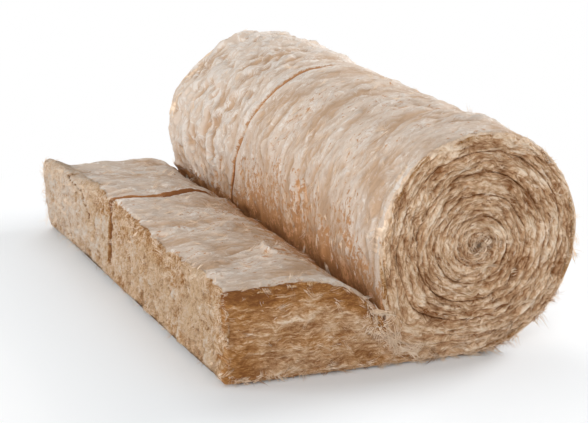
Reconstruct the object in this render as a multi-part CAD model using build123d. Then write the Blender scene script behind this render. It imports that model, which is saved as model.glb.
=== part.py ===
from build123d import *
import math
import os

# A mineral wool mat, wound into a roll that lies on its side, with its last stretch unrolled.
# The mat is one piece. X runs along the unrolled stretch towards the roll, Y along the roll's
# axis and Z up. Sizes are in millimetres and angles in degrees.

# The mat
MAT_WIDTH = 1140.0
LOOSE_THICKNESS = 190.0
EDGE_ROUND = 8.0

# The winding: a spiral of quarter circles, whose radius shrinks by one pitch in each turn
OUTER_RADIUS = 234.0
TURN_PITCH = 40.0
SAG_PER_TURN = 2.0
LEAN_PER_TURN = 0.5
CORE_RADIUS = 14.0

# The unrolled stretch
TAIL_LENGTH = 522.0
TAIL_TOP_CORNER = 16.0
TAIL_FOOT_CORNER = 14.0
SHOULDER_RADIUS = 150.0
CREASE_RADIUS = 2.0

# The crevice between the turns, as it shows on both ends of the roll
CREVICE_LIP_WIDTH = 16.0
CREVICE_LIP_DEPTH = 4.0
CREVICE_THROAT_WIDTH = 6.0
CREVICE_DEPTH = 14.0

# The slit that splits the mat lengthwise into two strips
TAIL_SLIT_FROM_NEAR_EDGE = 685.0
ROLL_SLIT_FROM_NEAR_EDGE = 705.0
SLIT_GAP = 3.0
SLIT_LIP_WIDTH = 10.0
SLIT_LIP_DEPTH = 6.0
TAIL_SLIT_DEPTH = 150.0
ROLL_SLIT_DEPTH = 30.0

# How far a cutting shape stands past the surface that it cuts, and the angles that the cuts
# keep off the floor and off the crease
OVERRUN = 5.0
CLEAR_OF_FLOOR = 15.0
CLEAR_OF_CREASE = 1.0

QUARTER = 90.0
FLOOR_ANGLE = -90.0


class Quarter:
    """A quarter circle of the winding, in the XZ plane, turning from X towards Z."""

    def __init__(self, x, z, radius, start):
        self.x = x
        self.z = z
        self.radius = radius
        self.start = start

    def point(self, angle):
        """The point of the quarter's circle at an angle from X."""
        turn = math.radians(angle)
        return (self.x + self.radius * math.cos(turn), self.z + self.radius * math.sin(turn))

    def arc(self, size=QUARTER):
        """The quarter's line, or its first part."""
        return CenterArc((self.x, self.z), self.radius, self.start, size)


def winding():
    """The quarters of the spiral, from the floor inwards. Its centre drifts down and sideways."""
    shrink = TURN_PITCH / 4
    steps = [
        shrink + LEAN_PER_TURN / 2,
        shrink - SAG_PER_TURN / 2,
        shrink - LEAN_PER_TURN / 2,
        shrink + SAG_PER_TURN / 2,
    ]
    x, z, radius, start = 0.0, OUTER_RADIUS, OUTER_RADIUS, FLOOR_ANGLE
    quarters = []
    while radius > CORE_RADIUS:
        quarters.append(Quarter(x, z, radius, start))
        step = steps[(len(quarters) - 1) % 4]
        start += QUARTER
        x += step * math.cos(math.radians(start))
        z += step * math.sin(math.radians(start))
        radius -= step
    return quarters


def along_y(face):
    """A face drawn in X and Z, made as wide as the mat, with its middle on the XZ plane."""
    return extrude(Plane.XZ * face, amount=MAT_WIDTH / 2, both=True)


class Outline:
    """The mat's outline in X and Z, and the places on it that the cuts need."""

    def __init__(self, quarters):
        self.quarters = quarters
        last = quarters[3]
        self.tail_end = -TAIL_LENGTH
        # The shoulder is an arc that leaves the flat top and comes to rest against the roll.
        self.shoulder_z = LOOSE_THICKNESS - SHOULDER_RADIUS
        reach = last.radius + SHOULDER_RADIUS
        rise = last.z - self.shoulder_z
        self.shoulder_x = last.x - math.sqrt(reach**2 - rise**2)
        # The crease is a small arc that touches both the roll and the shoulder.
        self.crease = self.crease_centre(last, reach)
        dx, dz = self.crease[0] - last.x, self.crease[1] - last.z
        self.crease_angle = math.degrees(math.atan2(dz, dx)) % 360
        dx, dz = self.crease[0] - self.shoulder_x, self.crease[1] - self.shoulder_z
        self.shoulder_angle = math.degrees(math.atan2(dz, dx))

    def crease_centre(self, last, reach):
        """The centre of the arc that touches the roll's circle and the shoulder's from above."""
        to_roll = last.radius + CREASE_RADIUS
        to_shoulder = SHOULDER_RADIUS + CREASE_RADIUS
        along = (reach**2 + to_roll**2 - to_shoulder**2) / (2 * reach)
        aside = math.sqrt(to_roll**2 - along**2)
        ux, uz = (self.shoulder_x - last.x) / reach, (self.shoulder_z - last.z) / reach
        return (last.x + along * ux + aside * uz, last.z + along * uz - aside * ux)

    def face(self):
        """The closed outline: floor, roll, crease, shoulder, flat top and the cut end."""
        first, second, third, last = self.quarters[:4]
        left, top = self.tail_end, LOOSE_THICKNESS
        on_roll = last.point(self.crease_angle)
        turn = math.radians(self.shoulder_angle)
        on_shoulder = (
            self.shoulder_x + SHOULDER_RADIUS * math.cos(turn),
            self.shoulder_z + SHOULDER_RADIUS * math.sin(turn),
        )
        crease_bottom = self.crease_bottom(on_roll, on_shoulder)
        corner = math.sqrt(0.5)
        top_inset = TAIL_TOP_CORNER * (1 - corner)
        foot_inset = TAIL_FOOT_CORNER * (1 - corner)
        edges = [
            Line((left + TAIL_FOOT_CORNER, 0), (first.x, 0)),
            first.arc(),
            second.arc(),
            third.arc(),
            last.arc(self.crease_angle - last.start),
            ThreePointArc(on_roll, crease_bottom, on_shoulder),
            CenterArc(
                (self.shoulder_x, self.shoulder_z),
                SHOULDER_RADIUS,
                self.shoulder_angle,
                QUARTER - self.shoulder_angle,
            ),
            Line((self.shoulder_x, top), (left + TAIL_TOP_CORNER, top)),
            ThreePointArc(
                (left + TAIL_TOP_CORNER, top),
                (left + top_inset, top - top_inset),
                (left, top - TAIL_TOP_CORNER),
            ),
            Line((left, top - TAIL_TOP_CORNER), (left, TAIL_FOOT_CORNER)),
            ThreePointArc(
                (left, TAIL_FOOT_CORNER),
                (left + foot_inset, foot_inset),
                (left + TAIL_FOOT_CORNER, 0),
            ),
        ]
        return make_face(edges)

    def crease_bottom(self, on_roll, on_shoulder):
        """The lowest point of the crease's arc, half way between the two places it touches."""
        dx = (on_roll[0] + on_shoulder[0]) / 2 - self.crease[0]
        dz = (on_roll[1] + on_shoulder[1]) / 2 - self.crease[1]
        size = math.hypot(dx, dz)
        return (
            self.crease[0] + CREASE_RADIUS * dx / size,
            self.crease[1] + CREASE_RADIUS * dz / size,
        )


def spun(quarter, section, start, size):
    """A section, drawn in radius and Y, spun about a quarter's axis from one angle on."""
    turn = math.radians(start)
    outwards = (math.cos(turn), 0, math.sin(turn))
    forwards = (-math.sin(turn), 0, math.cos(turn))
    centre = (quarter.x, 0, quarter.z)
    plane = Plane(origin=centre, x_dir=outwards, z_dir=forwards)
    return revolve(plane * section, Axis(centre, (0, -1, 0)), revolution_arc=size)


def crevice_section(radius):
    """The crevice between two turns: soft lips, and below them flanks that meet in a line."""
    face = MAT_WIDTH / 2
    lip = CREVICE_LIP_WIDTH / 2
    throat = CREVICE_THROAT_WIDTH / 2
    over = lip + (lip - throat) * OVERRUN / CREVICE_LIP_DEPTH
    corners = [
        (radius - over, face + OVERRUN),
        (radius - throat, face - CREVICE_LIP_DEPTH),
        (radius, face - CREVICE_DEPTH),
        (radius + throat, face - CREVICE_LIP_DEPTH),
        (radius + over, face + OVERRUN),
    ]
    return make_face(Polyline(*corners, close=True))


def crevices(outline):
    """The crevice that winds from the crease in to the core, on both ends."""
    cuts = []
    for quarter in outline.quarters[3:]:
        start = max(quarter.start, outline.crease_angle + CLEAR_OF_CREASE)
        size = quarter.start + QUARTER - start
        near = spun(quarter, crevice_section(quarter.radius), start, size)
        cuts += [near, mirror(near, Plane.XZ)]
    return cuts


def slit_section(surface, depth, y):
    """The slit, drawn in distance from an axis and Y: two soft lips over a narrow gap."""
    half_lip, half_gap = SLIT_LIP_WIDTH / 2, SLIT_GAP / 2
    lip_bottom, bottom = surface - SLIT_LIP_DEPTH, surface - depth
    over = half_lip * (1 + OVERRUN / SLIT_LIP_DEPTH)
    points = [
        (surface + OVERRUN, y - over),
        (lip_bottom, y - half_gap),
        (bottom, y - half_gap),
        (bottom, y + half_gap),
        (lip_bottom, y + half_gap),
        (surface + OVERRUN, y + over),
    ]
    return make_face(Polyline(*points, close=True))


def roll_slit(outline):
    """The slit round the roll, from just above the floor to the crease."""
    y = ROLL_SLIT_FROM_NEAR_EDGE - MAT_WIDTH / 2
    pieces = []
    for quarter in outline.quarters[:4]:
        start, stop = quarter.start, quarter.start + QUARTER
        start = max(start, FLOOR_ANGLE + CLEAR_OF_FLOOR)
        stop = min(stop, outline.crease_angle - CLEAR_OF_CREASE)
        section = slit_section(quarter.radius, ROLL_SLIT_DEPTH, y)
        pieces.append(spun(quarter, section, start, stop - start))
    return pieces


def tail_slit(outline):
    """The slit along the unrolled stretch and down its cut end."""
    y = TAIL_SLIT_FROM_NEAR_EDGE - MAT_WIDTH / 2
    start = outline.tail_end - OVERRUN
    top = LOOSE_THICKNESS + OVERRUN
    last = outline.quarters[3]
    length = last.x - last.radius - OVERRUN - start
    depth = TAIL_SLIT_DEPTH + OVERRUN
    blade = Pos(start + length / 2, y, top - depth / 2) * Box(length, SLIT_GAP, depth)
    shoulder = Quarter(outline.shoulder_x, outline.shoulder_z, SHOULDER_RADIUS, 0.0)
    over_start = outline.shoulder_angle + CLEAR_OF_CREASE
    section = slit_section(SHOULDER_RADIUS, SLIT_LIP_DEPTH + OVERRUN, y)
    over_shoulder = spun(shoulder, section, over_start, QUARTER - over_start)
    wedge = lip_face()
    along_top = extrude(wedge, outline.shoulder_x - start)
    along_top = Pos(start, y, LOOSE_THICKNESS) * along_top
    down_end = extrude(wedge, depth)
    down_end = Pos(outline.tail_end, y, top - depth) * Rot(0, -90, 0) * down_end
    return [blade, over_shoulder, along_top, down_end]


def lip_face():
    """The two lips of the slit, as a wedge in Y and Z that points down into the mat."""
    over = SLIT_LIP_WIDTH / 2 * (1 + OVERRUN / SLIT_LIP_DEPTH)
    corners = Polyline((-over, OVERRUN), (0, -SLIT_LIP_DEPTH), (over, OVERRUN), close=True)
    return make_face(Plane.YZ * corners)


def build_mat():
    """The whole mat: its outline over the full width, then the crevices and the slit."""
    outline = Outline(winding())
    mat = along_y(outline.face())
    ends = [face for face in mat.faces() if abs(face.normal_at().Y) > 0.99]
    mat = fillet([edge for face in ends for edge in face.edges()], EDGE_ROUND)
    for cut in crevices(outline) + roll_slit(outline) + tail_slit(outline):
        mat -= cut
    # The origin is on the floor, under the middle of the whole.
    return Pos((TAIL_LENGTH - OUTER_RADIUS) / 2, 0, 0) * mat


def main():
    os.makedirs("parts", exist_ok=True)
    mat = build_mat()
    mat.label = "wool_mat"
    export_step(mat, "parts/wool_mat.step")


if __name__ == "__main__":
    main()
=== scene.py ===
"""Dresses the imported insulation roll: a mat of mineral wool, wound up, with its last stretch unrolled."""
import logging
import math
from dataclasses import dataclass, field
from enum import Enum
from typing import Callable, Iterable, Sequence

import bmesh
import bpy
import numpy as np
from mathutils import Matrix, Vector


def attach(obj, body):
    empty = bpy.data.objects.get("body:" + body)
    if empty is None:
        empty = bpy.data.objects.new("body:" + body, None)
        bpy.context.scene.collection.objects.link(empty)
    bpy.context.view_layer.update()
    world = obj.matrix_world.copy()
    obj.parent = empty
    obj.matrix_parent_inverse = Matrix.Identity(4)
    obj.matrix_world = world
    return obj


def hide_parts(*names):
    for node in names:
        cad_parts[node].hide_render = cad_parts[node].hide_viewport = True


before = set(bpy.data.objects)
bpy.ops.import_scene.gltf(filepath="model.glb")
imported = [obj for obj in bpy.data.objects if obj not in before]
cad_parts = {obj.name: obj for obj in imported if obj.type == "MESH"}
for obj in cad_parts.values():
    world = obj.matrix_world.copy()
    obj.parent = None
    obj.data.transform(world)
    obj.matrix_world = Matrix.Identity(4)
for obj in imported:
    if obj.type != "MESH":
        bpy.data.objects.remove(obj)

logging.basicConfig(level=logging.INFO, format="%(message)s")
LOG = logging.getLogger("roll")
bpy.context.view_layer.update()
NODE = "wool_mat"


class End(Enum):
    """The two ends of the roll, by the sign of Y."""

    NEAR = -1.0
    FAR = 1.0


class Noise:
    """Smooth seeded noise in three dimensions, from about -1 to 1."""

    def __init__(self, seed: int) -> None:
        """Fills the lattice.

        Args:
            seed: The lattice's seed.
        """
        maker = np.random.default_rng(seed)
        self.order = np.tile(maker.permutation(256), 3)
        slopes = maker.normal(size=(256, 3))
        self.slopes = slopes / np.linalg.norm(slopes, axis=1, keepdims=True)

    def __call__(self, points: np.ndarray, scale: Sequence[float] | float = 1.0) -> np.ndarray:
        """Reads the noise.

        Args:
            points: The places, one to a row.
            scale: The size of the noise's grain, the same all ways or one for each way.

        Returns:
            One value for each place.
        """
        at = points / np.asarray(scale, float)
        cell = np.floor(at).astype(int)
        part = at - cell
        ease = part**3 * (part * (part * 6 - 15) + 10)
        total = np.zeros(len(points))
        for corner in np.ndindex(2, 2, 2):
            step = np.array(corner)
            x, y, z = ((cell + step) % 256).T
            slope = self.slopes[self.order[self.order[self.order[x] + y] + z]]
            weight = np.prod(np.where(step == 1, ease, 1 - ease), axis=1)
            total += weight * np.einsum("ij,ij->i", slope, part - step)
        return total * 1.6

    def layers(self, points: np.ndarray, scale: Sequence[float], count: int = 3) -> np.ndarray:
        """Noise with finer noise over it.

        Args:
            points: The places, one to a row.
            scale: The size of the coarsest grain.
            count: How many layers there are, each half as big and half as strong.

        Returns:
            One value for each place.
        """
        total = np.zeros(len(points))
        for layer in range(count):
            total += self(points + 17.3 * layer, np.asarray(scale, float) / 2**layer) / 2**layer
        return total


def hollow(heights: np.ndarray, reach: int) -> np.ndarray:
    """How far each height of a table lies below its neighbours.

    Args:
        heights: The table.
        reach: How many rows and columns away the neighbours lie.

    Returns:
        The neighbours' mean, less the height itself.
    """
    mean = heights
    for axis in range(2):
        total = np.zeros_like(mean)
        for step in range(-reach, reach + 1):
            total += np.roll(mean, step, axis)
        mean = total / (2 * reach + 1)
    return mean - heights


def smooth(values: np.ndarray, low: float, high: float) -> np.ndarray:
    """An eased step from 0 at low to 1 at high."""
    part = np.clip((values - low) / (high - low), 0, 1)
    return part * part * (3 - 2 * part)


@dataclass(frozen=True)
class Winding:
    """The spiral of the wound mat, in quarter circles, by the angle wound from the floor."""

    contact_x: float = 0.144
    radius: float = 0.234
    pitch: float = 0.040
    sag: float = 0.002
    lean: float = 0.0005
    core: float = 0.014
    press: float = 0.039
    press_at: float = 319.0
    press_width: float = 22.0

    def quarters(self) -> np.ndarray:
        """Each quarter's centre and radius, from the floor inwards."""
        shrink = self.pitch / 4
        steps = (
            shrink + self.lean / 2,
            shrink - self.sag / 2,
            shrink - self.lean / 2,
            shrink + self.sag / 2,
        )
        x, z, radius = self.contact_x, self.radius, self.radius
        found = []
        while radius > self.core:
            found.append((x, z, radius))
            step = steps[(len(found) - 1) % 4]
            turn = math.radians(90 * (len(found) - 1))
            x += step * math.cos(turn)
            z += step * math.sin(turn)
            radius -= step
        return np.array(found)

    @property
    def last(self) -> float:
        """The angle wound at the core, in degrees."""
        return 90.0 * len(self.quarters())

    @property
    def centre(self) -> np.ndarray:
        """The middle of the innermost quarter."""
        return self.quarters()[-1][:2]

    def point(self, wound: np.ndarray) -> np.ndarray:
        """The spiral's points.

        Args:
            wound: Angles wound from the floor, in degrees.

        Returns:
            Points in X and Z, one to a row. Where the roll leans on the mat it bulges.
        """
        quarters = self.quarters()
        which = np.clip((wound // 90).astype(int), 0, len(quarters) - 1)
        x, z, radius = quarters[which].T
        for turn, share in enumerate((1.0, 0.35, 0.1)):
            off = (wound - self.press_at - 360 * turn) / self.press_width
            radius = radius + self.press * share * np.exp(-(off**2))
        angle = np.radians(wound - 90)
        return np.column_stack((x + radius * np.cos(angle), z + radius * np.sin(angle)))


def evenly(line: np.ndarray, count: int) -> np.ndarray:
    """A line's points, spaced evenly along it.

    Args:
        line: The line's points in X and Z.
        count: How many points come back.

    Returns:
        The new points.
    """
    run = np.concatenate(([0], np.cumsum(np.linalg.norm(np.diff(line, axis=0), axis=1))))
    at = np.linspace(0, run[-1], count)
    return np.column_stack([np.interp(at, run, line[:, axis]) for axis in range(2)])


@dataclass(frozen=True)
class Mat:
    """The mat's own shape: how thick it is where, and how it has settled."""

    width: float = 1.14
    thickness: float = 0.190
    tail_end: float = -0.378
    corner: float = 0.016
    rim: float = 0.014
    shoulder_from: float = -0.25
    crease: float = 308.5
    winding: Winding = field(default_factory=Winding)
    seed: int = 11

    @property
    def crease_point(self) -> np.ndarray:
        """The bottom of the crease between the roll and the unrolled stretch."""
        return self.winding.point(np.array([self.crease]))[0]

    def top(self, x: np.ndarray) -> np.ndarray:
        """The height of the unrolled stretch's top, by X."""
        crease_x, crease_z = self.crease_point
        along = np.clip((x - self.shoulder_from) / (crease_x - self.shoulder_from), 0, 1)
        drop = (1 - along**2.5) ** 0.9
        height = crease_z + (self.thickness - crease_z) * drop
        inset = np.clip(self.corner - (x - self.tail_end), 0, self.corner)
        return height - self.corner + np.sqrt(self.corner**2 - inset**2)

    def bottom(self, x: np.ndarray) -> np.ndarray:
        """The height of the unrolled stretch's underside, by X."""
        inset = np.clip(self.corner - (x - self.tail_end), 0, self.corner)
        return self.corner - np.sqrt(self.corner**2 - inset**2)

    def top_line(self) -> np.ndarray:
        """The top's line, from the cut end to the crease."""
        x = self.tail_end + (self.crease_point[0] - self.tail_end) * np.linspace(0, 1, 2000)
        return np.column_stack((x, self.top(x)))

    def seam_line(self) -> np.ndarray:
        """The line where the roll lies on the mat, from the crease to below the axis."""
        return self.winding.point(np.linspace(self.crease, 359.99, 400))

    def settle(self, points: np.ndarray) -> np.ndarray:
        """Moves points as the soft mat has settled: sagging, leaning and never quite even.

        Args:
            points: Points of the mat as it would be made, one to a row.

        Returns:
            The same points where they lie.
        """
        x, y, z = points.T
        half = self.width / 2
        lift = np.clip(z / self.thickness, 0, 1)
        rim = 1 - smooth(x, -0.365, -0.31)
        middle = np.exp(-(((y + 0.24) / 0.16) ** 2))
        sink = 0.004 - 0.040 * smooth(y, 0.15, 0.62)
        sink += 0.020 * smooth(y, 0.33, half) * rim - 0.009 * rim * middle
        moved = points.copy()
        moved[:, 2] += sink * (1 - smooth(x, -0.20, -0.03)) * lift
        bulge = 0.010 * smooth(y, 0.1, half) * 4 * lift * (1 - lift)
        bulge += 0.006 * lift**2 * np.maximum(middle, 1 - smooth(y, -half, -0.4))
        moved[:, 0] -= bulge * rim
        side = 1 - smooth(x, -0.06, 0.18)
        high = smooth(z, 0.08, 0.22) * (1 - smooth(z, 0.3, 0.45))
        moved[:, 0] -= 0.020 * smooth(y, 0.1, half) * side * high
        grounded = smooth(z, 0.0, 0.05)
        soft = Noise(self.seed)
        for axis, reach in ((0, 0.8), (2, 1.0)):
            shift = points + 31.7 * (axis + 1)
            wave = 0.0042 * soft(shift, 0.21) + 0.0024 * soft(shift + 5, 0.085)
            moved[:, axis] += wave * reach * (grounded if axis == 2 else 1)
        return moved


@dataclass
class Surface:
    """A bent grid, read between its vertices."""

    points: np.ndarray

    def read(self, row: np.ndarray, column: np.ndarray) -> np.ndarray:
        """The places between the grid's vertices."""
        rows, columns = self.points.shape[:2]
        low_row = np.clip(row.astype(int), 0, rows - 2)
        low_column = np.clip(column.astype(int), 0, columns - 2)
        down, over = (row - low_row)[:, None], (column - low_column)[:, None]
        first = self.points[low_row, low_column] * (1 - over)
        first = first + self.points[low_row, low_column + 1] * over
        second = self.points[low_row + 1, low_column] * (1 - over)
        second = second + self.points[low_row + 1, low_column + 1] * over
        return first * (1 - down) + second * down

    def spots(self, row: np.ndarray, column: np.ndarray, outside: np.ndarray) -> "Spots":
        """Where and how wisps can stand on the grid.

        Args:
            row: The row of each spot.
            column: The column of each spot.
            outside: A direction that points away from the wool, one or one for each spot.

        Returns:
            The spots, with the direction along the rows' path and the direction out.
        """
        here = self.read(row, column)
        along = unit(self.read(row + 1.5, column) - self.read(row - 1.5, column))
        over = unit(self.read(row, column + 1.5) - self.read(row, column - 1.5))
        out = unit(np.cross(along, over))
        out *= np.where(np.sum(out * outside, axis=1) < 0, -1.0, 1.0)[:, None]
        return Spots(here, along, out)


@dataclass
class Spots:
    """Places on the wool, each with the direction of its fibres and the direction out."""

    place: np.ndarray
    along: np.ndarray
    out: np.ndarray


def unit(vectors: np.ndarray) -> np.ndarray:
    """The vectors at length one."""
    size = np.linalg.norm(vectors, axis=1, keepdims=True)
    return vectors / np.maximum(size, 1e-9)


class Modeller:
    """Blender's own operators, called as by hand."""

    @staticmethod
    def alone(piece: bpy.types.Object) -> None:
        """Selects one object and makes it active."""
        for other in bpy.context.selected_objects:
            other.select_set(False)
        piece.select_set(True)
        bpy.context.view_layer.objects.active = piece

    @classmethod
    def grid(cls, name: str, across: int, along: int) -> tuple[bpy.types.Object, np.ndarray, np.ndarray]:
        """Adds a grid to be bent into shape.

        Args:
            name: The piece's name.
            across: The number of faces one way.
            along: The number of faces the other way.

        Returns:
            The piece, and each vertex's place in the grid both ways.
        """
        for other in bpy.context.selected_objects:
            other.select_set(False)
        bpy.ops.mesh.primitive_grid_add(
            x_subdivisions=across, y_subdivisions=along, size=2, calc_uvs=True
        )
        piece = bpy.context.object
        piece.name = name
        piece.data.name = name
        places = cls.places(piece)
        column = np.rint((places[:, 0] + 1) / 2 * across).astype(int)
        row = np.rint((places[:, 1] + 1) / 2 * along).astype(int)
        return piece, column, row

    @staticmethod
    def places(piece: bpy.types.Object) -> np.ndarray:
        """The piece's vertices, one to a row."""
        flat = np.empty(len(piece.data.vertices) * 3)
        piece.data.vertices.foreach_get("co", flat)
        return flat.reshape(-1, 3)

    @staticmethod
    def place(piece: bpy.types.Object, places: np.ndarray) -> None:
        """Moves the piece's vertices."""
        piece.data.vertices.foreach_set("co", places.ravel())
        piece.data.update()

    @staticmethod
    def chart(piece: bpy.types.Object, name: str, across: np.ndarray, along: np.ndarray) -> None:
        """Sets the piece's UV map from a value for each vertex, in metres on the surface.

        Args:
            piece: The piece.
            name: The map's name.
            across: The first coordinate of each vertex.
            along: The second coordinate of each vertex.
        """
        while piece.data.uv_layers:
            piece.data.uv_layers.remove(piece.data.uv_layers[0])
        layer = piece.data.uv_layers.new(name=name)
        corner = np.empty(len(piece.data.loops), int)
        piece.data.loops.foreach_get("vertex_index", corner)
        layer.data.foreach_set("uv", np.column_stack((across, along))[corner].ravel())

    @staticmethod
    def mark(piece: bpy.types.Object, name: str, values: np.ndarray) -> None:
        """Keeps one number for each vertex, for the piece's material."""
        layer = piece.data.attributes.new(name, "FLOAT", "POINT")
        layer.data.foreach_set("value", values.astype(np.float32))

    @staticmethod
    def normals(piece: bpy.types.Object) -> np.ndarray:
        """The piece's vertex normals, one to a row."""
        flat = np.empty(len(piece.data.vertices) * 3)
        piece.data.vertex_normals.foreach_get("vector", flat)
        return flat.reshape(-1, 3)

    @classmethod
    def close(cls, piece: bpy.types.Object) -> None:
        """Merges the grid's meeting edges, fills the open ends and faces everything outwards."""
        cls.alone(piece)
        bpy.ops.object.mode_set(mode="EDIT")
        bpy.ops.mesh.select_mode(type="VERT")
        bpy.ops.mesh.select_all(action="SELECT")
        bpy.ops.mesh.remove_doubles(threshold=0.00002)
        bpy.ops.mesh.select_all(action="DESELECT")
        bpy.ops.mesh.select_non_manifold(extend=False)
        bpy.ops.mesh.edge_face_add()
        bpy.ops.mesh.select_all(action="SELECT")
        bpy.ops.mesh.normals_make_consistent(inside=False)
        bpy.ops.object.mode_set(mode="OBJECT")
        piece.data.polygons.foreach_set("use_smooth", np.ones(len(piece.data.polygons), bool))


@dataclass
class Skin:
    """A wound or unrolled stretch of the mat, closed, with its skin as the outside."""

    mat: Mat
    name: str
    lines: Callable[["Skin"], list[tuple[np.ndarray, int, bool]]]
    columns: int = 300
    wound: bool = True
    slit_mean: float = 0.18
    seed: int = 3
    surface: Surface | None = None

    def outline(self) -> tuple[np.ndarray, np.ndarray]:
        """The closed outline in X and Z, and how much of each point shows."""
        points, shown = [], []
        for line, count, open_air in self.lines(self):
            part = evenly(line, count)[:-1]
            points.append(part)
            shown.append(np.full(len(part), 1.0 if open_air else 0.0))
        outline = np.vstack(points + [points[0][:1]])
        return outline, np.concatenate(shown + [shown[0][:1]])

    def build(self) -> bpy.types.Object:
        """Builds the closed piece.

        Returns:
            The piece, in its place.
        """
        outline, shown = self.outline()
        rows = len(outline) - 1
        piece, column, row = Modeller.grid(self.name, self.columns, rows)
        step = np.roll(outline[:-1], -1, axis=0) - np.roll(outline[:-1], 1, axis=0)
        step /= np.linalg.norm(step, axis=1, keepdims=True)
        inward = np.column_stack((-step[:, 1], step[:, 0]))
        area = np.sum(outline[:-1, 0] * outline[1:, 1] - outline[1:, 0] * outline[:-1, 1])
        inward *= math.copysign(1, area)
        inward = np.vstack((inward, inward[:1]))
        run = np.concatenate(([0], np.cumsum(np.linalg.norm(np.diff(outline, axis=0), axis=1))))
        y, inset = self.widthwise(column, outline[row], shown[row])
        base = outline[row] + inward[row] * inset[:, None]
        places = np.column_stack((base[:, 0], y, base[:, 1]))
        Modeller.place(piece, places)
        outward = -inward[row]
        relief = self.relief(run[row], y, outline[row], shown[row])
        places[:, 0] += outward[:, 0] * relief
        places[:, 2] += outward[:, 1] * relief
        places = self.mat.settle(places)
        places[:, 2] = np.maximum(places[:, 2], 0.0)
        Modeller.place(piece, places)
        table = np.empty((rows + 1, self.columns + 1, 3))
        table[row, column] = places
        self.surface = Surface(table)
        rise = np.empty((rows + 1, self.columns + 1))
        rise[row, column] = relief
        Modeller.chart(piece, "surface", run[row], y)
        Modeller.mark(piece, "relief", relief)
        # The skin material darkens the colour by this hollowness: painted shade in the hollows.
        Modeller.mark(piece, "hollow", hollow(rise, 3)[row, column] / 0.002)
        Modeller.mark(piece, "warmth", self.warmth(outline[row], y))
        Modeller.mark(piece, "cut", self.cut(column, outline[row], y))
        Modeller.mark(piece, "crevice", self.crevice(outline[row], y))
        Modeller.mark(piece, "band", self.band(outline[row], y))
        Modeller.close(piece)
        return piece

    def raw(self, outline: np.ndarray, y: np.ndarray) -> np.ndarray:
        """How much of each vertex is torn wool, at the short end, where the skin stops short."""
        flat = np.column_stack((outline, y))
        ragged = 0.008 * Noise(self.seed + 7)(flat, 0.035) + 0.003 * Noise(self.seed + 8)(flat, 0.010)
        short = 0.135 * np.maximum(y - 0.16, 0)
        return 1 - smooth(outline[:, 0] - self.mat.tail_end - short + ragged, 0.004, 0.010)

    def cut(self, column: np.ndarray, outline: np.ndarray, y: np.ndarray) -> np.ndarray:
        """How much of each vertex is cut wool and not skin."""
        end = self.raw(outline, y)
        index = np.minimum(column, self.columns - column + 4)
        rim = 1 - smooth(index.astype(float), 2.5, 8.0)
        return np.maximum(end, rim)

    def widthwise(
        self, column: np.ndarray, outline: np.ndarray, shown: np.ndarray
    ) -> tuple[np.ndarray, np.ndarray]:
        """Where each column lies across the mat, with its rims rounded over.

        Args:
            column: Each vertex's column.
            outline: Each vertex's place on the outline.
            shown: How much of each vertex shows.

        Returns:
            Each vertex's Y, and how far it lies inside the outline.
        """
        edge = 8
        half = self.mat.width / 2 - 0.016 * (1 - shown)
        inner = half - self.mat.rim
        share = (column - edge) / (self.columns - 2 * edge)
        y = inner * (2 * np.clip(share, 0, 1) - 1)
        y = self.to_slit(y, share, outline)
        inset = np.zeros(len(column))
        for near, index in ((True, column), (False, self.columns - column)):
            sign = -1 if near else 1
            turn = np.clip((edge - index) / 5, 0, 1) * math.pi / 2
            y = np.where(index < edge, sign * (inner + self.mat.rim * np.sin(turn)), y)
            inset = np.where(index < edge, self.mat.rim * (1 - np.cos(turn)), inset)
            y = np.where(index == 2, sign * (half - 0.003), y)
            y = np.where(index == 1, sign * (half - 0.010), y)
            y = np.where(index == 0, sign * (half - 0.024), y)
        return y, inset

    def row_of_end(self) -> tuple[int, int]:
        """The first and last row of the short cut end."""
        counts = [count - 1 for _, count, _ in self.lines(self)]
        return sum(counts[:-1]), sum(counts)

    def slit_y(self, outline: np.ndarray) -> np.ndarray:
        """Where the slit runs, by the place on the outline."""
        x, z = outline.T
        wander = 0.003 * Noise(self.seed + 9)(np.column_stack((outline, x * 0)), 0.07)
        roll = 0.128 + 0.108 * (1 - smooth(z, 0.05, 0.46)) ** 1.1
        tail = 0.115 + 0.130 * smooth(x, -0.27, -0.03)
        return np.where(self.wound, roll, tail) + wander

    def to_slit(self, y: np.ndarray, share: np.ndarray, outline: np.ndarray) -> np.ndarray:
        """Draws the columns in towards the slit, so that one of them lies in it.

        Args:
            y: Each vertex's Y, spaced evenly.
            share: Each vertex's share of the way across; not used.
            outline: Each vertex's place on the outline.

        Returns:
            The new Y of each vertex.
        """
        off = y - self.slit_mean
        pull = np.exp(-((off / 0.02) ** 2))
        shift = (self.slit_y(outline) - self.slit_mean) * np.exp(-((off / 0.16) ** 2))
        return self.slit_mean + off * (1 - 0.72 * pull) + shift

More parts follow.
